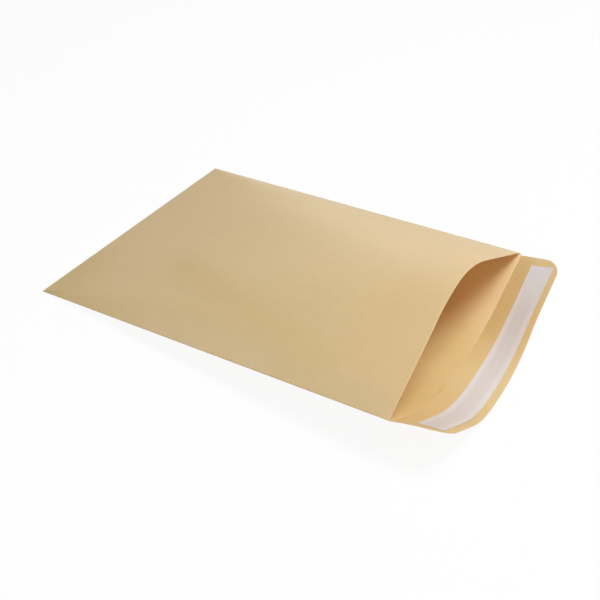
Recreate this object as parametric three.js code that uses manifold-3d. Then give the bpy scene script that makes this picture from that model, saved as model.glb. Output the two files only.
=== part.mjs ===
// A kraft pocket envelope that lies open, folded from one sheet of brown paper.
// The front panel lies underneath and carries the sealing flap. The back panel folds over at the
// closed end and is glued to a tab along each side fold. The stiff paper holds the mouth open, so
// each panel is flat in the middle and bends along straight lines that fan out from the closed corners.
// Millimetres and degrees. +X runs from the closed end to the flap, +Y across, +Z up.

import * as THREE from "three";
import { mergeVertices } from "three/addons/utils/BufferGeometryUtils.js";
import Module from "manifold-3d";

// The sheet, and the envelope's size when it is pressed flat
const paperThickness = 0.2;
const envelopeWidth = 229;
const envelopeLength = 324;

// Front panel, measured across the mouth: a flat middle, a round bend and a straight flank
const frontFlatHalfWidth = 15;
const frontBendRadius = 100;
const frontBendAngle = 32;

// Back panel: its bend angle follows from meeting the front panel along the side folds
const backFlatHalfWidth = 1;
const backBendRadius = 83;

// Sealing flap, with the bend that it has along its free edge
const flapDepth = 37;
const flapCornerRadius = 13;
const flapBendRadius = 80;
const flapBendAngle = 40;

// Side tabs, glued inside the back panel
const tabWidth = 18;
const tabClosedEndGap = 14;
const tabMouthGap = 8;
const tabTaper = 66;

// Self-seal strip: a band of glue under a wider liner
const linerWidth = 18;
const linerEdgeMargin = 5;
const linerSideMargin = 9.5;
const linerThickness = 0.1;
const glueWidth = 11;
const glueSideMargin = 12;
const glueThickness = 0.1;
const layerGap = 0.05;

// How finely round shapes are stepped
const bendSteps = 14;
const cornerSteps = 5;
const foldSteps = 4;

const halfWidth = envelopeWidth / 2;
const frontBend = THREE.MathUtils.degToRad(frontBendAngle);
const flapBend = THREE.MathUtils.degToRad(flapBendAngle);

// Cross-section of the bent paper. Gives the place, across and up, of the point that lies at the
// distance `reach` from the middle when the sheet is flat.
function section(reach, flatHalfWidth, radius, angle) {
  const turned = THREE.MathUtils.clamp((reach - flatHalfWidth) / radius, 0, angle);
  const flank = Math.max(reach - flatHalfWidth - radius * angle, 0);
  return {
    across: Math.min(reach, flatHalfWidth) + radius * Math.sin(turned) + flank * Math.cos(angle),
    up: radius * (1 - Math.cos(turned)) + flank * Math.sin(angle),
  };
}

// The bend angle that brings a panel's side edge to the given distance from the middle.
function bendReaching(across, flatHalfWidth, radius) {
  let tooSmall = 0;
  let tooLarge = Math.PI / 2;
  for (let halving = 0; halving < 50; halving++) {
    const angle = (tooSmall + tooLarge) / 2;
    const isTooWide = section(halfWidth, flatHalfWidth, radius, angle).across > across;
    if (isTooWide) tooSmall = angle;
    else tooLarge = angle;
  }
  return tooSmall;
}

// A point of a panel's mouth edge, with the panel's flat middle on z = 0 and its closed end on x = 0.
// The straight line from it to the closed corner keeps the length that it has in the flat sheet.
function mouthPoint(reach, flatHalfWidth, radius, angle) {
  const distance = Math.abs(reach);
  const { across, up } = section(distance, flatHalfWidth, radius, angle);
  const ruling = Math.hypot(envelopeLength, halfWidth - distance);
  const forward = Math.sqrt(ruling ** 2 - (halfWidth - across) ** 2 - up ** 2);
  return new THREE.Vector3(forward, Math.sign(reach) * across, up);
}

// The back panel turns up about the closed end until its side edges meet those of the front panel.
const frontSide = mouthPoint(halfWidth, frontFlatHalfWidth, frontBendRadius, frontBend);
const backBend = bendReaching(frontSide.y, backFlatHalfWidth, backBendRadius);
const backSide = mouthPoint(halfWidth, backFlatHalfWidth, backBendRadius, backBend);
const openingAngle = Math.atan2(frontSide.z, frontSide.x) + Math.atan2(backSide.z, backSide.x);
const widthAxis = new THREE.Vector3(0, 1, 0);

// Inner faces of the panels: their corners at the closed end and their edges at the mouth
function closedCorner(reach) {
  return new THREE.Vector3(0, Math.sign(reach) * halfWidth, paperThickness);
}

function frontMouth(reach) {
  const point = mouthPoint(reach, frontFlatHalfWidth, frontBendRadius, frontBend);
  point.z += paperThickness;
  return point;
}

function backMouth(reach) {
  const point = mouthPoint(reach, backFlatHalfWidth, backBendRadius, backBend);
  point.z *= -1;
  point.applyAxisAngle(widthAxis, -openingAngle);
  point.z += paperThickness;
  return point;
}

// Upward normal of a panel along the line from the closed corner to `reach` at the mouth.
const tangentStep = 0.01;
function panelNormal(mouth, reach) {
  const ruling = mouth(reach).sub(closedCorner(reach));
  const across = mouth(reach + tangentStep).sub(mouth(reach - tangentStep));
  return ruling.cross(across).normalize();
}

const frontOutward = (reach) => panelNormal(frontMouth, reach).negate();
const backOutward = (reach) => panelNormal(backMouth, reach);

// The inner face of the flap, `depth` past the crease along the paper.
function flapPoint(reach, depth) {
  const share = depth / flapDepth;
  const radius = THREE.MathUtils.lerp(frontBendRadius, flapBendRadius, share);
  const angle = THREE.MathUtils.lerp(frontBend, flapBend, share);
  const { across, up } = section(Math.abs(reach), frontFlatHalfWidth, radius, angle);
  const crease = frontMouth(reach);
  const point = new THREE.Vector3(crease.x, Math.sign(reach) * across, up + paperThickness);
  const drift = point.distanceTo(crease);
  point.x += Math.sqrt(depth ** 2 - drift ** 2);
  return point;
}

function flapInward(reach, depth) {
  const across = flapPoint(reach + tangentStep, depth).sub(flapPoint(reach - tangentStep, depth));
  const along = flapPoint(reach, depth + tangentStep).sub(flapPoint(reach, depth - tangentStep));
  return along.cross(across).normalize();
}

// Depth of the flap at a distance from the middle: its free corners are round.
function flapEdge(reach) {
  const past = Math.abs(reach) - halfWidth + flapCornerRadius;
  const inset = THREE.MathUtils.clamp(past, 0, flapCornerRadius);
  return flapDepth - flapCornerRadius + Math.sqrt(flapCornerRadius ** 2 - inset ** 2);
}

// A row of points across the flap, at a share of its depth, lifted off its inner face.
function flapRow(columns, share, lift) {
  return columns.map((reach) => {
    const depth = flapEdge(reach) * share;
    return flapPoint(reach, depth).addScaledVector(flapInward(reach, depth), lift);
  });
}

// Triangles between two rows of points. Where neighbours coincide, a quad becomes a triangle.
function strip(triangles, rowA, rowB, flipped = false) {
  const add = (a, b, c) => {
    if (a.equals(b) || b.equals(c) || c.equals(a)) return;
    triangles.push(...(flipped ? [a, c, b] : [a, b, c]));
  };
  for (let i = 0; i + 1 < rowA.length; i++) {
    add(rowA[i], rowA[i + 1], rowB[i + 1]);
    add(rowA[i], rowB[i + 1], rowB[i]);
  }
}

const closedGeometry = (triangles) => mergeVertices(new THREE.BufferGeometry().setFromPoints(triangles));
const bothSides = (reaches) => [...reaches.map((reach) => -reach).reverse(), ...reaches];
const count = (steps) => Array.from({ length: steps + 1 }, (_, i) => i);
const firstOf = (rows) => rows.map((row) => row[0]);
const lastOf = (rows) => rows.map((row) => row.at(-1));

// Where the bending lines reach the mouth, from the middle to the side fold
const frontBendReaches = count(bendSteps).map(
  (i) => frontFlatHalfWidth + (frontBendRadius * frontBend * i) / bendSteps,
);
const backBendReaches = count(bendSteps).map(
  (i) => backFlatHalfWidth + (backBendRadius * backBend * i) / bendSteps,
);
const flapCornerReaches = count(cornerSteps).map(
  (i) => halfWidth - flapCornerRadius * (1 - Math.cos((i * Math.PI) / 2 / cornerSteps)),
);
const stripEndReaches = [halfWidth - linerSideMargin, halfWidth - glueSideMargin];
const frontReaches = [...new Set([...frontBendReaches, ...flapCornerReaches, ...stripEndReaches])];
const frontColumns = bothSides(frontReaches.sort((a, b) => a - b));
const backColumns = bothSides([...backBendReaches, halfWidth]);

// Where the glue and the liner lie, as shares of the flap's depth
const linerFar = flapDepth - linerEdgeMargin;
const linerNear = linerFar - linerWidth;
const glueFar = linerFar - (linerWidth - glueWidth) / 2;
const glueNear = glueFar - glueWidth;
const glueShares = [glueNear / flapDepth, glueFar / flapDepth];
const linerShares = [linerNear / flapDepth, ...glueShares, linerFar / flapDepth];

// Outer round of a fold: directions that turn from one panel's outward normal to the other's.
function foldRound(from, to) {
  const axis = new THREE.Vector3().crossVectors(from, to).normalize();
  const turn = from.angleTo(to);
  return count(foldSteps).map((i) => from.clone().applyAxisAngle(axis, (turn * i) / foldSteps));
}

// The vector that reaches one unit along each of two directions, where two rounds meet at a corner.
const mitre = (a, b) => a.clone().add(b).divideScalar(1 + a.dot(b));

// Outer points of the folds on one side: around the closed corner and around the mouth's corner.
function foldEnds(side) {
  const reach = side * halfWidth;
  const endRound = foldRound(frontOutward(side * frontFlatHalfWidth), backOutward(side * backFlatHalfWidth));
  const sideRound = foldRound(frontOutward(reach), backOutward(reach));
  const inside = frontMouth(reach);
  const outside = (origin, direction) => origin.clone().addScaledVector(direction, paperThickness);
  return {
    corner: endRound.map((direction, i) => outside(closedCorner(reach), mitre(direction, sideRound[i]))),
    mouth: sideRound.map((direction) => outside(inside, direction)),
    inside: sideRound.map(() => inside),
  };
}

// The folded sheet as one closed skin: outer faces, inner faces, round folds and cut edges.
function foldedSheet() {
  const triangles = [];
  const near = foldEnds(-1);
  const far = foldEnds(1);

  // Both faces of a panel, from the closed end to the mouth
  const addPanel = (columns, mouth, outward, foldEnd, facesUp) => {
    const ends = columns.map((reach) => (reach < 0 ? near : far));
    const inner = columns.map(mouth);
    const outer = inner.map((point, i) => point.clone().addScaledVector(outward(columns[i]), paperThickness));
    inner[0] = near.inside[0];
    inner[inner.length - 1] = far.inside[0];
    outer[0] = near.mouth[foldEnd];
    outer[outer.length - 1] = far.mouth[foldEnd];
    strip(triangles, columns.map(closedCorner), inner, !facesUp);
    strip(triangles, ends.map((end) => end.corner[foldEnd]), outer, facesUp);
    return { inner, outer };
  };
  const front = addPanel(frontColumns, frontMouth, frontOutward, 0, false);
  const back = addPanel(backColumns, backMouth, backOutward, foldSteps, true);
  strip(triangles, back.inner, back.outer);

  // The folds at the closed end and along both sides, and their ends at the mouth
  strip(triangles, near.corner, far.corner);
  strip(triangles, far.corner, far.mouth);
  strip(triangles, near.mouth, near.corner);
  strip(triangles, far.mouth, far.inside);
  strip(triangles, near.inside, near.mouth);

  // The flap, from the crease to its free edge
  const flapShares = [...linerShares, 1];
  const inner = [front.inner, ...flapShares.map((share) => flapRow(frontColumns, share, 0))];
  const outer = [front.outer, ...flapShares.map((share) => flapRow(frontColumns, share, -paperThickness))];
  for (let row = 0; row + 1 < inner.length; row++) {
    strip(triangles, outer[row], outer[row + 1]);
    strip(triangles, inner[row], inner[row + 1], true);
  }
  strip(triangles, outer.at(-1), inner.at(-1));
  strip(triangles, lastOf(inner), lastOf(outer));
  strip(triangles, firstOf(outer), firstOf(inner));
  return closedGeometry(triangles);
}

// A glued tab: a flat tapered strip in the plane of the back panel's flank. It lies a paper's
// thickness inside the panel, and reaches half way into it, so that the two are one piece.
function sideTab(side) {
  const reach = side * halfWidth;
  const corner = closedCorner(reach);
  const along = backMouth(reach).sub(corner).normalize();
  const outward = backOutward(reach);
  const inward = new THREE.Vector3().crossVectors(along, outward).multiplyScalar(side);
  const extrusion = new THREE.Vector3().crossVectors(along, inward);
  const sunk = paperThickness / 2;
  const start = extrusion.dot(outward) > 0 ? -paperThickness : sunk;
  const tabEnd = envelopeLength - tabMouthGap;
  const outline = new THREE.Shape();
  outline.moveTo(tabClosedEndGap, 0);
  outline.lineTo(tabEnd, 0);
  outline.lineTo(tabEnd, tabWidth);
  outline.lineTo(tabClosedEndGap + tabTaper, tabWidth);
  const tab = new THREE.ExtrudeGeometry(outline, { depth: paperThickness + sunk, bevelEnabled: false });
  const place = new THREE.Matrix4().makeBasis(along, inward, extrusion);
  place.setPosition(corner.addScaledVector(outward, start));
  return tab.applyMatrix4(place);
}

// A thin layer that follows the flap, between two heights above its inner face.
function flapLayer(sideMargin, shares, low, high) {
  const triangles = [];
  const columns = frontColumns.filter((reach) => Math.abs(reach) <= halfWidth - sideMargin);
  const under = shares.map((share) => flapRow(columns, share, low));
  const over = shares.map((share) => flapRow(columns, share, high));
  for (let row = 0; row + 1 < shares.length; row++) {
    strip(triangles, under[row], under[row + 1]);
    strip(triangles, over[row], over[row + 1], true);
  }
  strip(triangles, under.at(-1), over.at(-1));
  strip(triangles, over[0], under[0]);
  strip(triangles, lastOf(over), lastOf(under));
  strip(triangles, firstOf(under), firstOf(over));
  return closedGeometry(triangles);
}

// Joining of closed geometries into one
const wasm = await Module();
wasm.setup();

function solidOf(geometry) {
  const bare = geometry.clone();
  bare.deleteAttribute("normal");
  bare.deleteAttribute("uv");
  const merged = mergeVertices(bare);
  return new wasm.Manifold(
    new wasm.Mesh({
      numProp: 3,
      vertProperties: new Float32Array(merged.getAttribute("position").array),
      triVerts: new Uint32Array(merged.getIndex().array),
    }),
  );
}

function joined(...geometries) {
  const whole = geometries.map(solidOf).reduce((a, b) => a.add(b)).getMesh();
  return new THREE.BufferGeometry()
    .setAttribute("position", new THREE.BufferAttribute(whole.vertProperties, 3))
    .setIndex(new THREE.BufferAttribute(whole.triVerts, 1));
}

// The envelope, centred on its length, with the underside of the front panel on z = 0
const envelope = new THREE.Group();

function addPiece(name, geometry, color, roughness) {
  const material = new THREE.MeshStandardMaterial({ color, roughness, metalness: 0 });
  const mesh = new THREE.Mesh(geometry, material);
  mesh.name = name;
  mesh.position.x = (paperThickness - envelopeLength - flapDepth) / 2;
  envelope.add(mesh);
}

const glueTop = layerGap + glueThickness;
const linerUnder = glueTop + layerGap;
const linerTop = linerUnder + linerThickness;

addPiece("envelope_body", joined(foldedSheet(), sideTab(-1), sideTab(1)), "#d2b78d", 0.9);
addPiece("adhesive_strip", flapLayer(glueSideMargin, glueShares, layerGap, glueTop), "#e3d3b8", 0.4);
addPiece("release_liner", flapLayer(linerSideMargin, linerShares, linerUnder, linerTop), "#dcd2cf", 0.5);

export default envelope;
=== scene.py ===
"""A kraft paper pocket envelope that lies open on a white table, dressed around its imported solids.

Metres. +X runs from the closed end to the sealing flap, +Y across to the far side, +Z up.
"""

import math

import bmesh
import bpy
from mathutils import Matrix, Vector


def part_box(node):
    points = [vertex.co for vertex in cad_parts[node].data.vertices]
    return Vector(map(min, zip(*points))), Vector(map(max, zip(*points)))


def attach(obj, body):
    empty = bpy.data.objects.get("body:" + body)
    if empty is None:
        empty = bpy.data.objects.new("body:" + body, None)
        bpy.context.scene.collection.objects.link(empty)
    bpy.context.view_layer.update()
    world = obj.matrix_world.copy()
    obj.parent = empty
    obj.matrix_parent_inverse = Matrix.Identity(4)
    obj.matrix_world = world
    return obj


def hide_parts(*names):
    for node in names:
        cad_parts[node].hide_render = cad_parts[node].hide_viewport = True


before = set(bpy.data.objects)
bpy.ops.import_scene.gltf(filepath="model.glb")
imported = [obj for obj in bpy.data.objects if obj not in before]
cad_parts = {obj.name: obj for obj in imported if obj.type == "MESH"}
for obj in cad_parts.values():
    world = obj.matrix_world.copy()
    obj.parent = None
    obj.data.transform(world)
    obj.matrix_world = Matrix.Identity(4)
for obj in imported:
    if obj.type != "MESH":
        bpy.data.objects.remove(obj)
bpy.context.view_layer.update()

# The camera looks down over the near side of the mouth, from the photograph's place.
camera_aim = Vector((0.00305, -0.00416, 0.0))
camera_azimuth = 33.974
camera_elevation = 41.371
camera_distance = 0.64818
focal_pixels = 790.66
picture_pixels = 600
sensor_millimetres = 36


def direction(azimuth, elevation):
    """The way from the envelope to the camera or a lamp. Azimuth turns from the near side to the mouth."""
    turn = math.radians(azimuth)
    rise = math.radians(elevation)
    return Vector((math.sin(turn) * math.cos(rise), -math.cos(turn) * math.cos(rise), math.sin(rise)))


scene = bpy.context.scene
camera_data = bpy.data.cameras.new("camera")
camera_data.sensor_width = sensor_millimetres
camera_data.lens = sensor_millimetres * focal_pixels / picture_pixels
camera = bpy.data.objects.new("camera", camera_data)
scene.collection.objects.link(camera)
towards_camera = direction(camera_azimuth, camera_elevation)
camera.location = camera_aim + camera_distance * towards_camera
camera.rotation_euler = towards_camera.to_track_quat("Z", "Y").to_euler()
scene.camera = camera

# A white studio and a white table. The studio's wall shows white to the camera and in reflections, under
# a dim ceiling, and the table shows white with a faint soft shadow left on it. Both light the paper only
# as plain pale surfaces do.
white = (1, 1, 1, 1)
studio_glow = 0.21
wall_top = 0.75
ceiling_blend = 0.15
table_grey = 0.9
table_shadow_share = 0.08
table_side = 6
table_drop = 0.0002


def shows_directly(tree):
    """1 on rays from the camera or through a mirror or glass, and 0 on those that only carry light."""
    path = tree.nodes.new("ShaderNodeLightPath")
    shown = path.outputs["Is Camera Ray"]
    for kind in ("Is Glossy Ray", "Is Transmission Ray"):
        either = tree.nodes.new("ShaderNodeMath")
        either.operation = "MAXIMUM"
        tree.links.new(shown, either.inputs[0])
        tree.links.new(path.outputs[kind], either.inputs[1])
        shown = either.outputs["Value"]
    return shown


scene.view_settings.view_transform = "Standard"
world = bpy.data.worlds.new("studio")
scene.world = world
world.use_nodes = True
studio = world.node_tree
glow = studio.nodes["Background"]
glow.inputs["Color"].default_value = white
glow.inputs["Strength"].default_value = studio_glow
white_wall = studio.nodes.new("ShaderNodeBackground")
white_wall.inputs["Color"].default_value = white
studio_way = studio.nodes.new("ShaderNodeTexCoord")
studio_height = studio.nodes.new("ShaderNodeSeparateXYZ")
studio.links.new(studio_way.outputs["Generated"], studio_height.inputs["Vector"])
wall_share = studio.nodes.new("ShaderNodeMapRange")
wall_share.inputs["From Min"].default_value = wall_top - ceiling_blend
wall_share.inputs["From Max"].default_value = wall_top + ceiling_blend
wall_share.inputs["To Min"].default_value = 1.0
wall_share.inputs["To Max"].default_value = 0.0
studio.links.new(studio_height.outputs["Z"], wall_share.inputs["Value"])
wall_shown = studio.nodes.new("ShaderNodeMath")
wall_shown.operation = "MULTIPLY"
studio.links.new(shows_directly(studio), wall_shown.inputs[0])
studio.links.new(wall_share.outputs["Result"], wall_shown.inputs[1])
studio_mix = studio.nodes.new("ShaderNodeMixShader")
studio.links.new(wall_shown.outputs["Value"], studio_mix.inputs["Fac"])
studio.links.new(glow.outputs["Background"], studio_mix.inputs[1])
studio.links.new(white_wall.outputs["Background"], studio_mix.inputs[2])
studio.links.new(studio_mix.outputs["Shader"], studio.nodes["World Output"].inputs["Surface"])

bpy.ops.object.select_all(action="DESELECT")
bpy.ops.mesh.primitive_plane_add(size=table_side, location=(0, 0, -table_drop))
table = bpy.context.object
table.name = "table"
table_finish = bpy.data.materials.new("white_table")
table_finish.use_nodes = True
table_tree = table_finish.node_tree
matt_top = table_tree.nodes["Principled BSDF"]
matt_top.inputs["Base Color"].default_value = (table_grey, table_grey, table_grey, 1)
matt_top.inputs["Roughness"].default_value = 1.0
matt_top.inputs["Specular IOR Level"].default_value = 0.0
white_top = table_tree.nodes.new("ShaderNodeEmission")
white_share = table_tree.nodes.new("ShaderNodeMath")
white_share.operation = "MULTIPLY"
white_share.inputs[1].default_value = 1 - table_shadow_share
table_mix = table_tree.nodes.new("ShaderNodeMixShader")
table_tree.links.new(shows_directly(table_tree), white_share.inputs[0])
table_tree.links.new(white_share.outputs["Value"], table_mix.inputs["Fac"])
table_tree.links.new(matt_top.outputs["BSDF"], table_mix.inputs[1])
table_tree.links.new(white_top.outputs["Emission"], table_mix.inputs[2])
table_tree.links.new(table_mix.outputs["Shader"], table_tree.nodes["Material Output"].inputs["Surface"])
table.data.materials.append(table_finish)

# Soft studio light: a soft box over the mouth, and weak low ones on the near side and the far side. Each
# has an azimuth and an elevation as the camera has, a side in metres and a power in watts.
soft_box_distance = 1.25


def add_soft_box(name, azimuth, elevation, side, watts):
    """A square soft box that faces the envelope from a studio's distance."""
    lamp = bpy.data.lights.new(name, "AREA")
    lamp.size = side
    lamp.energy = watts
    soft_box = bpy.data.objects.new(name, lamp)
    scene.collection.objects.link(soft_box)
    towards_lamp = direction(azimuth, elevation)
    soft_box.location = soft_box_distance * towards_lamp
    soft_box.rotation_euler = towards_lamp.to_track_quat("Z", "Y").to_euler()
    soft_box.visible_camera = False


add_soft_box("overhead_soft_box", 105, 72, 0.48, 12.25)
add_soft_box("near_soft_box", 30, 20, 0.42, 2.6)
add_soft_box("far_soft_box", 210, 15, 0.42, 1.1)
add_soft_box("far_mouth_soft_box", 150, 15, 0.42, 2.4)

# The envelope's folded sheet: one piece of brown kraft paper, die-cut as a flat blank. Its front panel
# lies underneath and carries the flap, the back panel is folded over it at the closed end, and a tab
# along each side fold is glued inside the back panel.
paper_thickness = 0.0002
envelope_width = 0.229
envelope_length = 0.324
flap_depth = 0.037
flap_corner_radius = 0.013
tab_width = 0.018
tab_closed_end_gap = 0.014
tab_mouth_gap = 0.008
tab_taper = 0.066
half_width = envelope_width / 2
tab_start = tab_closed_end_gap
tab_end = envelope_length - tab_mouth_gap
closed_end_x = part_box("envelope_body")[0].x + paper_thickness

# Sections across the mouth: half of the flat middle, then the radius and the angle of the round bend.
front_bend = (0.015, 0.100, math.radians(32))
back_bend = (0.001, 0.083, math.radians(26.918))

# The back panel's bend is spread by a mean over rings of places around each point. No length that divides
# is taken as less than least_length, and places within the tolerance count as one.
bend_spread = 0.040
spread_rings = (0.35, 0.7, 1.0)
spread_ways = 8
least_length = 1e-9
tolerance = 1e-6


def bend_across(reach, flat, radius, angle):
    """Across and up of the point that lies at the distance reach from the middle of a bent section."""
    turned = min(max((reach - flat) / radius, 0), angle)
    flank = max(reach - flat - radius * angle, 0)
    across = min(reach, flat) + radius * math.sin(turned) + flank * math.cos(angle)
    up = radius * (1 - math.cos(turned)) + flank * math.sin(angle)
    return across, up


def mouth_point(reach, flat, radius, angle):
    """Where a panel's mouth edge is, with the closed end on x = 0 and the flat middle on z = 0."""
    across, up = bend_across(abs(reach), flat, radius, angle)
    ruling = math.hypot(envelope_length, half_width - abs(reach))
    forward = math.sqrt(ruling**2 - (half_width - across) ** 2 - up**2)
    return Vector((forward, math.copysign(across, reach), up))


front_side = mouth_point(half_width, *front_bend)
back_side = mouth_point(half_width, *back_bend)
opening_angle = math.atan2(front_side.z, front_side.x) + math.atan2(back_side.z, back_side.x)


def bent_panel(along, across, bend):
    """A panel's point: flat in the middle, and bent on straight lines from the closed corner beside it."""
    reach = half_width - envelope_length * (half_width - abs(across)) / max(along, least_length)
    if reach <= bend[0]:
        return Vector((along, across, 0))
    corner = Vector((0, math.copysign(half_width, across), 0))
    edge = mouth_point(math.copysign(reach, across), *bend)
    return corner.lerp(edge, along / envelope_length)


def eased(along, across, bend):
    """How far a bend's spread moves a panel's point: stiff paper bends less sharply beside the corners."""
    reach = max(min(bend_spread, along, envelope_length - along, half_width - abs(across)), 0)
    total = Vector()
    for ring in spread_rings:
        for i in range(spread_ways):
            turn = 2 * math.pi * i / spread_ways
            step = Vector((math.cos(turn), math.sin(turn))) * ring * reach
            total += bent_panel(along + step.x, across + step.y, bend)
    return total / (len(spread_rings) * spread_ways) - bent_panel(along, across, bend)


def on_front(along, across):
    """A point of the front panel's inner face."""
    point = bent_panel(along, across, front_bend)
    return point + Vector((closed_end_x, 0, paper_thickness))


def turned_back(point):
    """A vector of the back panel, turned up about the closed end by the opening angle."""
    lift = math.cos(opening_angle)
    slope = math.sin(opening_angle)
    return Vector((lift * point.x + slope * point.z, point.y, slope * point.x - lift * point.z))


def on_back(along, across):
    """A point of the back panel's inner face."""
    point = bent_panel(along, across, back_bend) + eased(along, across, back_bend)
    return turned_back(point) + Vector((closed_end_x, 0, paper_thickness))


# The back panel's cut edge at the mouth isn't quite straight: it falls back at its near corner, comes
# forward beside the middle and falls back a little again towards the far side.
near_mouth_lead = -0.00185
mouth_bulge = 0.0028
mouth_bulge_start = -0.135
mouth_bulge_place = -0.018
mouth_bulge_end = 0.010
mouth_bulge_drop = 0.0007


def eased_share(value, start, end):
    """0 at start and 1 at end, with a soft beginning and a soft end."""
    share = min(max((value - start) / (end - start), 0), 1)
    return share * share * (3 - 2 * share)


def mouth_lead(across):
    """How far the back panel's cut edge lies past the mouth."""
    rise = mouth_bulge * eased_share(across, mouth_bulge_start, mouth_bulge_place)
    drop = mouth_bulge_drop * eased_share(across, mouth_bulge_place, mouth_bulge_end)
    return near_mouth_lead + rise - drop


# The flap was folded a little askew towards the far side. Its free edge lies lowest on a line nearer than
# its middle and bends up on both sides of that: the width and the angle of each bend, and how soon the
# flap springs from its crease to that shape. Its section is added up in small steps.
crease_lead = 0.0022
crease_lead_start = 0.035
flap_low_line = -0.014
near_flap_bend = (0.0473, math.radians(35.6))
far_flap_bend = (0.0569, math.radians(29.3))
near_flap_spring = 1.42
far_flap_spring = 1.0
flap_side_inset = 0.0014
flap_side_taper = 0.0023
flap_edge_bow = 0.0007
flap_steps = 40


def crease_past_mouth(across):
    """How far the flap's crease lies past the mouth."""
    share = min(max((across - crease_lead_start) / (half_width - crease_lead_start), 0), 1)
    return crease_lead * share * share


def flap_slope(across, share):
    """How steeply the flap rises at a place, between the slopes of its crease and of its free edge."""
    crease_turn = min(max((abs(across) - front_bend[0]) / front_bend[1], 0), front_bend[2])
    from_low = across - flap_low_line
    width, angle = near_flap_bend if from_low < 0 else far_flap_bend
    free_turn = angle * min(abs(from_low) / width, 1)
    return (1 - share) * math.copysign(crease_turn, across) + share * math.copysign(free_turn, from_low)


def on_flap(depth, across):
    """The flap's inner face: it springs up at the crease, towards the section of its free edge."""
    spring = near_flap_spring if across < flap_low_line else far_flap_spring
    past = crease_past_mouth(across)
    share = 1 - max((flap_depth - depth) / (flap_depth - past), 0) ** spring
    step = (across - flap_low_line) / flap_steps
    side = flap_low_line
    up = paper_thickness
    for i in range(flap_steps):
        turn = flap_slope(flap_low_line + (i + 0.5) * step, share)
        side += step * math.cos(turn)
        up += step * math.sin(turn)
    crease = on_front(envelope_length + past, across)
    point = Vector((crease.x, side, up))
    drift = (point - crease).length
    point.x += math.sqrt(max((depth - past) ** 2 - drift**2, 0))
    return point


def flap_edge(across):
    """Depth of the flap at a distance from the middle: its free edge bows out and its corners are round."""
    past = min(max(abs(across) - panel_edge + flap_corner_radius, 0), flap_corner_radius)
    bow = flap_edge_bow * (1 - (across / panel_edge) ** 2)
    return flap_depth + bow - flap_corner_radius + math.sqrt(flap_corner_radius**2 - past**2)


# The side folds: the front panel turns over on a small round and its tab lies inside the back panel.
glue_gap = 0.00006
fold_round = 0.0001
tab_lift = paper_thickness + glue_gap


def side_fold(side):
    """The corner and direction of a side fold, and the two ways into the panels that meet there."""
    corner = on_front(0, side * half_width)
    along = (on_front(envelope_length, side * half_width) - corner).normalized()
    ways = []
    for panel in (on_front, on_back):
        edge = panel(envelope_length, side * half_width)
        step = panel(envelope_length, side * (half_width - tab_width)) - edge
        ways.append((step - along * step.dot(along)).normalized())
    return corner, along, *ways


fold_sides = {side: side_fold(side) for side in (-1, 1)}
front_way, back_way = fold_sides[1][2:]
fold_angle = front_way.angle(back_way)
fold_tangent = fold_round / math.tan(fold_angle / 2)
panel_inset = tab_lift / math.sin(fold_angle) + fold_tangent
tab_inset = tab_lift / math.tan(fold_angle) + fold_tangent
fold_width = (fold_round + paper_thickness / 2) * (math.pi - fold_angle)
panel_edge = half_width - panel_inset


def on_tab(along, past, side):
    """A point of the side fold or the tab, at the distance past from the front panel's edge."""
    corner, direction_of_fold, front_way, back_way = fold_sides[side]
    inside = (front_way - back_way * front_way.dot(back_way)).normalized()
    line = corner + direction_of_fold * along
    if past >= fold_width:
        inward = tab_inset + past - fold_width
        with_panel = turned_back(eased(along, side * (half_width - inward), back_bend))
        return line + back_way * inward + inside * tab_lift + with_panel
    front_out = (front_way * front_way.dot(back_way) - back_way).normalized()
    centre = line + front_way * panel_inset - front_out * fold_round
    return centre + front_out.slerp(-inside, past / fold_width) * fold_round


# The closed end's fold: nearly a half turn, on a small round that runs into both panels.
end_inset = 0.0005
end_round = end_inset * math.tan(opening_angle / 2)


def folded(along, across):
    """Where a point of the flat blank lies on the folded envelope's inner face."""
    if abs(across) > panel_edge + tolerance:
        return on_tab(along, abs(across) - panel_edge, 1 if across > 0 else -1)
    if along > envelope_length:
        past = crease_past_mouth(across)
        depth = past + (along - envelope_length) / flap_depth * (flap_edge(across) - past)
        inset = flap_side_inset + flap_side_taper * depth / flap_depth
        return on_flap(depth, across * (half_width - inset) / panel_edge)
    end_share = max((tab_start - abs(along)) / tab_start, 0)
    mouth_share = max((abs(along) - tab_end) / (envelope_length - tab_end), 0)
    across *= 1 + (half_width / panel_edge - 1) * min(max(end_share, mouth_share), 1)
    if along >= end_inset - tolerance:
        return on_front(along + crease_past_mouth(across) * mouth_share, across)
    if along <= -end_inset + tolerance:
        return on_back(-along + mouth_lead(across) * mouth_share, across)
    turn = (end_inset - along) / (2 * end_inset) * (math.pi - opening_angle)
    centre = Vector((closed_end_x + end_inset, across, paper_thickness + end_round))
    return centre - end_round * Vector((math.sin(turn), 0, math.cos(turn)))


def stepped(start, end, step):
    """Even places after start and up to end, about a step apart."""
    count = math.ceil((end - start) / step)
    return [start + (end - start) * i / count for i in range(1, count + 1)]


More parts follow.
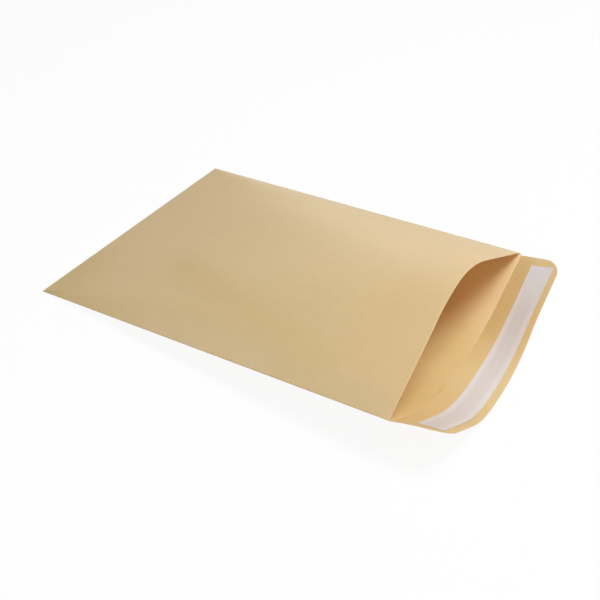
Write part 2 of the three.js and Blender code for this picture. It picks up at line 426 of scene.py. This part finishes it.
# The blank's rows run from the back panel's mouth over the closed end to the flap's free edge, and its
# columns are closer together where the flap's corners are round.
closed_end_step = 0.001
panel_step = 0.003
mouth_step = 0.0008
flap_crease_width = 0.0004
flap_step = 0.0012
column_step = 0.0027
corner_columns = 12
front_rows = [end_inset, *stepped(end_inset, tab_start, closed_end_step)]
front_rows += stepped(tab_start, tab_end, panel_step)
front_rows += stepped(tab_end, envelope_length, mouth_step)
back_rows = [-row for row in reversed(front_rows)]
end_rows = stepped(-end_inset, end_inset, end_inset / 3)[:-1]
flap_start = envelope_length + flap_crease_width
flap_rows = [flap_start, *stepped(flap_start, envelope_length + flap_depth, flap_step)]
row_places = back_rows + end_rows + front_rows + flap_rows
middle_columns = [0, *stepped(0, panel_edge - flap_corner_radius, column_step)]
round_columns = [
    panel_edge - flap_corner_radius * (1 - math.sin(math.pi / 2 * i / corner_columns))
    for i in range(1, corner_columns + 1)
]
side_columns = middle_columns + round_columns
column_places = [-place for place in reversed(side_columns[1:])] + side_columns

bpy.ops.object.select_all(action="DESELECT")
bpy.ops.mesh.primitive_grid_add(
    x_subdivisions=len(row_places) - 1, y_subdivisions=len(column_places) - 1, size=2
)
paper = bpy.context.object
paper.name = "kraft_envelope"
for vertex in paper.data.vertices:
    row = round((vertex.co.x + 1) / 2 * (len(row_places) - 1))
    column = round((vertex.co.y + 1) / 2 * (len(column_places) - 1))
    vertex.co = (row_places[row], column_places[column], 0)

# The tabs are drawn out of the blank's sides: first the narrow strip that turns over, then the tab.
fold_strips = 5
tab_strips = 6
strip_widths = [fold_width / fold_strips] * fold_strips
strip_widths += [(tab_width - tab_inset) / tab_strips] * tab_strips
bpy.ops.object.mode_set(mode="EDIT")
bpy.ops.mesh.select_mode(type="EDGE")
for side in (-1, 1):
    bpy.ops.mesh.select_all(action="DESELECT")
    blank = bmesh.from_edit_mesh(paper.data)
    for edge in blank.edges:
        ends = [vertex.co for vertex in edge.verts]
        on_side = all(abs(end.y - side * panel_edge) < tolerance for end in ends)
        beside_tab = all(tab_start - tolerance < end.x < tab_end + tolerance for end in ends)
        edge.select = on_side and beside_tab
    bmesh.update_edit_mesh(paper.data)
    for width in strip_widths:
        bpy.ops.mesh.extrude_edges_move(TRANSFORM_OT_translate={"value": (0, side * width, 0)})
bpy.ops.object.mode_set(mode="OBJECT")

# The tab's end near the closed corner is cut on a slant.
for vertex in paper.data.vertices:
    past = abs(vertex.co.y) - panel_edge - fold_width
    if past > tolerance:
        slant = tab_taper * past / (tab_width - tab_inset)
        vertex.co.x = tab_end - (tab_end - vertex.co.x) * (1 - slant / (tab_end - tab_start))

flat_map = paper.data.uv_layers.new(name="flat_blank")
for loop in paper.data.loops:
    flat_map.uv[loop.index].vector = paper.data.vertices[loop.vertex_index].co.xy

# Wear and painted light on the paper. Lighter: the flap's crease, partly its broken fibres and partly a
# painted highlight on its ridge, plain in the middle; a painted pool of light inside the mouth's far corner
# and beside the crease there; the mouth's cut edge, pale fibres with a painted highlight; and the whole
# flap, painted paler for the light and sheen on it. Darker, all painted shade: the flap's far part beside
# the crease, a short stretch of the crease and a small crease at the near closed corner. A line or patch
# has two ends on the flat blank and a half width.
wear_line = 0.0011
# The crease's light line is partly broken fibres and partly a painted highlight on its ridge; its middle
# stays plain.
plain_crease_middle = -0.027
plain_crease_reach = 0.030
# The mouth's cut edge: pale cut fibres, widened onto the faces by a painted highlight where the edge
# catches light.
rim_wear_and_highlight = 0.6
# The whole flap is painted paler, for the white light and sheen that fall on it.
flap_painted_paleness = 0.14
# A painted pool of light on the inside of the mouth's far corner, where the lamp shines into the mouth.
lit_far_corner_patch = ((0.317, 0.062), (0.321, 0.114), 0.028)
lit_far_corner_lightness = 0.35
# A painted strip of light on the inside beside the crease's far part.
lit_crease_strip = ((0.323, 0.050), (0.323, 0.110), 0.007)
lit_crease_strip_lightness = 0.15
# Painted shade on the flap's far part beside the crease, where it turns away from the light.
shaded_flap_patch = ((0.328, 0.045), (0.331, 0.108), 0.016)
flap_shade_darkness = 0.55
# A short stretch of the crease is painted dark, the shade in its fold.
shaded_crease_stretch = ((envelope_length, -0.0355), (envelope_length, -0.0275), wear_line)
crease_stretch_shade = 0.8
# The small crease at the near closed corner is a shallow groove, painted dark with the shade in it.
corner_crease = ((-0.0022, -0.1137), (-0.0195, -0.1098), 0.0012)
corner_crease_depth = 0.0003


def near_line(along, across, start, end, half_width_of_line):
    """1 on the line between two points of the blank, falling to 0 at its side."""
    from_start = Vector((along, across)) - Vector(start)
    way = Vector(end) - Vector(start)
    share = min(max(from_start.dot(way) / way.length_squared, 0), 1)
    return max(1 - (from_start - way * share).length / half_width_of_line, 0)


def soft_patch(along, across, start, end, half_width_of_patch):
    """1 on the line between two points of the blank, fading out softly at its side."""
    return eased_share(near_line(along, across, start, end, half_width_of_patch), 0, 1)


def wear_and_painted_light_at(along, across):
    """How much lighter a place of the blank is made by wear and painted light, or below 0 darker by painted
    shade.
    """
    crease_reach = wear_line if along < envelope_length else flap_crease_width
    crease = max(1 - abs(along - envelope_length) / crease_reach, 0)
    # The crease is lighter for its broken fibres and for a painted highlight on its ridge, except in its
    # plain middle.
    broken_and_lit = min(max((abs(across - plain_crease_middle) - plain_crease_reach) / plain_crease_reach, 0), 1)
    # Pale fibres and a painted highlight along the mouth's cut edge.
    rim = max(1 - abs(along + envelope_length) / wear_line, 0)
    # On the flap: painted paleness for its light and sheen, less painted shade beside the crease. On the
    # panels: painted light.
    if along > envelope_length:
        tone = flap_painted_paleness - flap_shade_darkness * soft_patch(along, across, *shaded_flap_patch)
    else:
        tone = lit_far_corner_lightness * soft_patch(along, across, *lit_far_corner_patch)
        tone += lit_crease_strip_lightness * soft_patch(along, across, *lit_crease_strip)
    light = crease * broken_and_lit + rim_wear_and_highlight * rim + tone * (1 - crease)
    # Painted shade: the crease's short dark stretch and the small crease at the near closed corner.
    tick = crease_stretch_shade * near_line(along, across, *shaded_crease_stretch)
    return light - near_line(along, across, *corner_crease) - tick


# The sheen is uneven. The back panel is dull where it was handled, at the near closed corner and in a band
# on the near side, and smoother along the middle of the near fold and at the mouth's far corner. The flap
# is smooth, and the pocket is dull.
plain_sheen = 0.5
deep_sheen = 0.15
flap_sheen = 1.0
inside_sheen_start = 0.255
inside_sheen_length = 0.060
handled_corner = ((0.0, -0.070), (-0.020, -0.114), 0.055)
handled_band = ((-0.100, -0.045), (-0.155, -0.065), 0.030)
handled_band_end = ((-0.155, -0.065), (-0.255, -0.090), 0.024)
handled_dullness = 0.9
smooth_near_fold = ((-0.120, -0.114), (-0.210, -0.114), 0.026)
near_fold_sheen = 0.8
smooth_mouth_corner = ((-0.285, 0.108), (-0.324, 0.114), 0.030)
mouth_corner_sheen = 0.5


def sheen_at(along, across):
    """How much a place of the blank shines, as the shader's specular level."""
    if along > 0:
        inside = min(max((along - inside_sheen_start) / inside_sheen_length, 0), 1)
        return deep_sheen + (flap_sheen - deep_sheen) * inside
    handled = (handled_corner, handled_band, handled_band_end)
    dull = max(soft_patch(along, across, *patch) for patch in handled)
    near_fold = near_fold_sheen * soft_patch(along, across, *smooth_near_fold)
    mouth_corner = mouth_corner_sheen * soft_patch(along, across, *smooth_mouth_corner)
    return plain_sheen * (1 - handled_dullness * dull) + max(near_fold, mouth_corner)


# Each point of the blank carries its wear with painted light, lighter above 0, and painted shade below 0.
wear_and_painted_light = paper.data.attributes.new("wear_and_painted_light", "FLOAT", "POINT")
sheen = paper.data.attributes.new("sheen", "FLOAT", "POINT")
for vertex in paper.data.vertices:
    along, across = vertex.co.xy
    wear_and_painted_light.data[vertex.index].value = wear_and_painted_light_at(along, across)
    sheen.data[vertex.index].value = sheen_at(along, across)
    vertex.co = folded(along, across)
    vertex.co.z -= corner_crease_depth * near_line(along, across, *corner_crease)

# Kraft paper: long fibres in the sheet's length, a cloudy formation, dark flecks and a matt surface.
# The inner face is warmer than the calendered outer face, the cut edge is pale, and some light comes
# through the sheet. A tone is a share of the paper's colour, and a range is the part of a noise's values
# that is used.
fibre_scale = (350, 2600, 1)
fibre_detail = 3.0
fibre_range = (0.25, 0.75)
fibre_tones = (0.95, 1.05)
fibre_gloss_range = (0.2, 0.8)
fibre_roughness = (0.44, 0.54)
fibre_height = 0.0001
fibre_bump = 0.25
cloud_scale = (120, 120, 1)
cloud_detail = 2.0
cloud_range = (0.3, 0.7)
cloud_tones = (0.985, 1.015)
fleck_scale = (600, 1500, 1)
fleck_detail = 1.0
fleck_range = (0.70, 0.78)
fleck_share = 0.3
fleck_tone = 0.55
# How far wear and painted light lighten the paper towards the cut edge's colour, and how far painted shade
# darkens it.
worn_and_lit_share = 0.7
painted_shade_share = 0.35
painted_shade_tone = 0.45
outer_kraft = (0.67, 0.52, 0.276)
inner_kraft = (0.612, 0.503, 0.228)
cut_kraft = (0.80, 0.65, 0.42)
light_through = (1.0, 0.45, 0.02, 1)
through_share = 0.10


def toned(colour, tone):
    """A colour made lighter or darker, with its alpha."""
    return (*(channel * tone for channel in colour), 1)


def add_noise(tree, places, scale, detail):
    """A noise over a flat sheet, with a scale for each of its directions."""
    noise = tree.nodes.new("ShaderNodeTexNoise")
    noise.inputs["Detail"].default_value = detail
    noise.inputs["Scale"].default_value = 1.0
    stretch = tree.nodes.new("ShaderNodeMapping")
    stretch.inputs["Scale"].default_value = scale
    tree.links.new(places, stretch.inputs["Vector"])
    tree.links.new(stretch.outputs["Vector"], noise.inputs["Vector"])
    return noise.outputs["Fac"]


def add_range(tree, value, low, high, to_low=0.0, to_high=1.0):
    """A value's range from low to high, laid out on another range and held at its ends."""
    span = tree.nodes.new("ShaderNodeMapRange")
    span.inputs["From Min"].default_value = low
    span.inputs["From Max"].default_value = high
    span.inputs["To Min"].default_value = to_low
    span.inputs["To Max"].default_value = to_high
    tree.links.new(value, span.inputs["Value"])
    return span.outputs["Result"]


def add_mix(tree, share, first, second, blend="MIX"):
    """A mix of two colours, each given as a value or as another node's output."""
    mix = tree.nodes.new("ShaderNodeMix")
    mix.data_type = "RGBA"
    mix.blend_type = blend
    for socket, value in ((mix.inputs["Factor"], share), (mix.inputs[6], first), (mix.inputs[7], second)):
        if isinstance(value, (tuple, float)):
            socket.default_value = value
        else:
            tree.links.new(value, socket)
    return mix.outputs[2]


def kraft_finish(name, colour):
    """The paper's finish on one of its faces or on its cut edge."""
    finish = bpy.data.materials.new(name)
    finish.use_nodes = True
    tree = finish.node_tree
    shader = tree.nodes["Principled BSDF"]
    blank = tree.nodes.new("ShaderNodeUVMap")
    blank.uv_map = "flat_blank"
    places = blank.outputs["UV"]
    fibres = add_noise(tree, places, fibre_scale, fibre_detail)
    clouds = add_noise(tree, places, cloud_scale, cloud_detail)
    flecks = add_noise(tree, places, fleck_scale, fleck_detail)
    wear_and_light_mark = tree.nodes.new("ShaderNodeAttribute")
    wear_and_light_mark.attribute_name = "wear_and_painted_light"
    sheen_mark = tree.nodes.new("ShaderNodeAttribute")
    sheen_mark.attribute_name = "sheen"

    pulp_tones = [toned(colour, tone) for tone in fibre_tones]
    pulp = add_mix(tree, add_range(tree, fibres, *fibre_range), *pulp_tones)
    cloud_tone = add_range(tree, clouds, *cloud_range, *cloud_tones)
    cloudy = add_mix(tree, 1.0, pulp, cloud_tone, "MULTIPLY")
    flecks_shown = add_range(tree, flecks, *fleck_range, 0, fleck_share)
    flecked = add_mix(tree, flecks_shown, cloudy, toned(colour, fleck_tone))
    # Wear and painted light lighten the paper, and painted shade darkens it.
    worn_and_lit = add_range(tree, wear_and_light_mark.outputs["Fac"], 0, 1, 0, worn_and_lit_share)
    lightened = add_mix(tree, worn_and_lit, flecked, toned(cut_kraft, 1))
    dark = add_range(tree, wear_and_light_mark.outputs["Fac"], 0, -1, 0, painted_shade_share)
    darkened = add_mix(tree, dark, lightened, toned(colour, painted_shade_tone))
    tree.links.new(darkened, shader.inputs["Base Color"])
    gloss = add_range(tree, fibres, *fibre_gloss_range, *fibre_roughness)
    tree.links.new(gloss, shader.inputs["Roughness"])
    tree.links.new(sheen_mark.outputs["Fac"], shader.inputs["Specular IOR Level"])
    bump = tree.nodes.new("ShaderNodeBump")
    bump.inputs["Strength"].default_value = fibre_bump
    bump.inputs["Distance"].default_value = fibre_height
    tree.links.new(fibres, bump.inputs["Height"])
    tree.links.new(bump.outputs["Normal"], shader.inputs["Normal"])

    through = tree.nodes.new("ShaderNodeBsdfTranslucent")
    through.inputs["Color"].default_value = light_through
    face = tree.nodes.new("ShaderNodeNewGeometry")
    share = tree.nodes.new("ShaderNodeMath")
    share.operation = "MAXIMUM"
    share.inputs[1].default_value = through_share
    sheet = tree.nodes.new("ShaderNodeMixShader")
    tree.links.new(face.outputs["Backfacing"], share.inputs[0])
    tree.links.new(share.outputs["Value"], sheet.inputs["Fac"])
    tree.links.new(shader.outputs["BSDF"], sheet.inputs[1])
    tree.links.new(through.outputs["BSDF"], sheet.inputs[2])
    tree.links.new(sheet.outputs["Shader"], tree.nodes["Material Output"].inputs["Surface"])
    return finish


paper.data.materials.append(kraft_finish("kraft_inner_face", inner_kraft))
paper.data.materials.append(kraft_finish("kraft_outer_face", outer_kraft))
paper.data.materials.append(kraft_finish("kraft_cut_edge", cut_kraft))

smooth_angle = math.radians(40)
sheet_thickness = paper.modifiers.new("paper_thickness", "SOLIDIFY")
sheet_thickness.thickness = paper_thickness
sheet_thickness.offset = -1
sheet_thickness.material_offset = 1
sheet_thickness.material_offset_rim = 2
bpy.ops.object.modifier_apply(modifier=sheet_thickness.name)
bpy.ops.object.shade_smooth_by_angle(angle=smooth_angle)

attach(paper, "root")
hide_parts("envelope_body")

# The self-seal strip's glue: a thin clear tacky band, printed across the flap's inner face a little askew.
# The liner covers it and reaches past it all round, so the liner's width and margin place them both.
liner_width = 0.018
liner_edge_margin = 0.005
glue_width = 0.011
glue_side_margin = 0.012
glue_thickness = 0.00008
glue_colours = ((0.74, 0.62, 0.44, 1), (0.82, 0.71, 0.54, 1))
glue_streak_scale = (900, 200, 1)
glue_streak_detail = 2.0
glue_gloss_range = (0.3, 0.7)
glue_roughness = (0.2, 0.35)
strip_middle = flap_depth - liner_edge_margin - liner_width / 2
strip_skew = 0.0038
strip_gap = 0.00003
strip_columns = 14
strip_rows = 110
probe_step = 0.0001


def flap_inward(depth, across):
    """The direction off the flap's inner face, at a place on it."""
    over = on_flap(depth, across + probe_step) - on_flap(depth, across - probe_step)
    along = on_flap(depth + probe_step, across) - on_flap(depth - probe_step, across)
    return along.cross(over).normalized()


def add_flap_strip(name, width, length, lift):
    """A strip along the flap, made as a flat grid and laid on the flap's inner face at a lift."""
    bpy.ops.object.select_all(action="DESELECT")
    bpy.ops.mesh.primitive_grid_add(x_subdivisions=strip_columns, y_subdivisions=strip_rows, size=1)
    strip = bpy.context.object
    strip.name = name
    flat_strip = strip.data.uv_layers[0]
    flat_strip.name = "flat_strip"
    for loop in strip.data.loops:
        place = strip.data.vertices[loop.vertex_index].co
        flat_strip.uv[loop.index].vector = (place.x * width, place.y * length)
    for vertex in strip.data.vertices:
        from_middle = vertex.co.x * width
        across = vertex.co.y * length
        depth = strip_middle + strip_skew * across + from_middle
        vertex.co = on_flap(depth, across) + flap_inward(depth, across) * lift(from_middle, across)
    return strip


def thicken(strip, thickness):
    """Gives a strip its thickness, away from the flap."""
    layer = strip.modifiers.new("strip_thickness", "SOLIDIFY")
    layer.thickness = thickness
    layer.offset = 1
    bpy.ops.object.modifier_apply(modifier=layer.name)
    bpy.ops.object.shade_smooth_by_angle(angle=smooth_angle)


def glue_lift(from_middle, across):
    """The glue lies on the flap all over."""
    return strip_gap


glue = add_flap_strip("adhesive_band", glue_width, envelope_width - 2 * glue_side_margin, glue_lift)
thicken(glue, glue_thickness)
glue_finish = bpy.data.materials.new("tacky_glue")
glue_finish.use_nodes = True
glue_tree = glue_finish.node_tree
glue_shader = glue_tree.nodes["Principled BSDF"]
glue_map = glue_tree.nodes.new("ShaderNodeUVMap")
glue_map.uv_map = "flat_strip"
glue_streaks = add_noise(glue_tree, glue_map.outputs["UV"], glue_streak_scale, glue_streak_detail)
glue_colour = add_mix(glue_tree, glue_streaks, *glue_colours)
glue_gloss = add_range(glue_tree, glue_streaks, *glue_gloss_range, *glue_roughness)
glue_tree.links.new(glue_colour, glue_shader.inputs["Base Color"])
glue_tree.links.new(glue_gloss, glue_shader.inputs["Roughness"])
glue.data.materials.append(glue_finish)
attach(glue, "root")
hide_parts("adhesive_strip")

# The self-seal strip's release liner: a pale strip of silicone-coated paper with a satin face. It is
# stuck to the glue along its middle, and its two long edges stand free of the flap. The glue dulls it in
# a band, which fades out near its far end.
liner_side_margin = 0.0095
liner_thickness = 0.0001
liner_edge_lift = 0.0001
liner_waves = 90
liner_pale = (0.675, 0.645, 0.632, 1)
liner_dull = (0.61, 0.572, 0.548, 1)
dull_band_edge = (0.004, 0.0065)
dull_band_end = (0.060, 0.085)
liner_streak_scale = (500, 90, 1)
liner_streak_detail = 3.0
liner_streak_range = (0.3, 0.8)
liner_streak_share = 0.35
liner_gloss_range = (0.3, 0.7)
liner_roughness = (0.36, 0.48)
liner_bump_strength = 0.1
liner_bump_height = 0.0001


def liner_lift(from_middle, across):
    """The liner lies on the glue in its middle, and its edges rise off the flap in slight waves."""
    free = max(abs(from_middle) - glue_width / 2, 0) / (liner_width / 2 - glue_width / 2)
    stuck = strip_gap + glue_thickness + strip_gap
    return stuck + liner_edge_lift * free**2 * (1 + math.sin(across * liner_waves))


liner_length = envelope_width - 2 * liner_side_margin
liner = add_flap_strip("release_liner_strip", liner_width, liner_length, liner_lift)
thicken(liner, liner_thickness)
liner_finish = bpy.data.materials.new("release_paper")
liner_finish.use_nodes = True
liner_tree = liner_finish.node_tree
liner_shader = liner_tree.nodes["Principled BSDF"]
liner_map = liner_tree.nodes.new("ShaderNodeUVMap")
liner_map.uv_map = "flat_strip"
liner_place = liner_tree.nodes.new("ShaderNodeSeparateXYZ")
liner_tree.links.new(liner_map.outputs["UV"], liner_place.inputs["Vector"])
off_middle = liner_tree.nodes.new("ShaderNodeMath")
off_middle.operation = "ABSOLUTE"
liner_tree.links.new(liner_place.outputs["X"], off_middle.inputs[0])
edge_pale = add_range(liner_tree, off_middle.outputs["Value"], *dull_band_edge)
end_pale = add_range(liner_tree, liner_place.outputs["Y"], *dull_band_end)
pale_share = liner_tree.nodes.new("ShaderNodeMath")
pale_share.operation = "MAXIMUM"
liner_tree.links.new(edge_pale, pale_share.inputs[0])
liner_tree.links.new(end_pale, pale_share.inputs[1])
liner_streaks = add_noise(liner_tree, liner_map.outputs["UV"], liner_streak_scale, liner_streak_detail)
streaks_shown = add_range(liner_tree, liner_streaks, *liner_streak_range, 0, liner_streak_share)
banded = add_mix(liner_tree, pale_share.outputs["Value"], liner_dull, liner_pale)
streaked = add_mix(liner_tree, streaks_shown, banded, liner_pale)
liner_gloss = add_range(liner_tree, liner_streaks, *liner_gloss_range, *liner_roughness)
liner_tree.links.new(streaked, liner_shader.inputs["Base Color"])
liner_tree.links.new(liner_gloss, liner_shader.inputs["Roughness"])
liner_bump = liner_tree.nodes.new("ShaderNodeBump")
liner_bump.inputs["Strength"].default_value = liner_bump_strength
liner_bump.inputs["Distance"].default_value = liner_bump_height
liner_tree.links.new(liner_streaks, liner_bump.inputs["Height"])
liner_tree.links.new(liner_bump.outputs["Normal"], liner_shader.inputs["Normal"])
liner.data.materials.append(liner_finish)
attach(liner, "root")
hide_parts("release_liner")
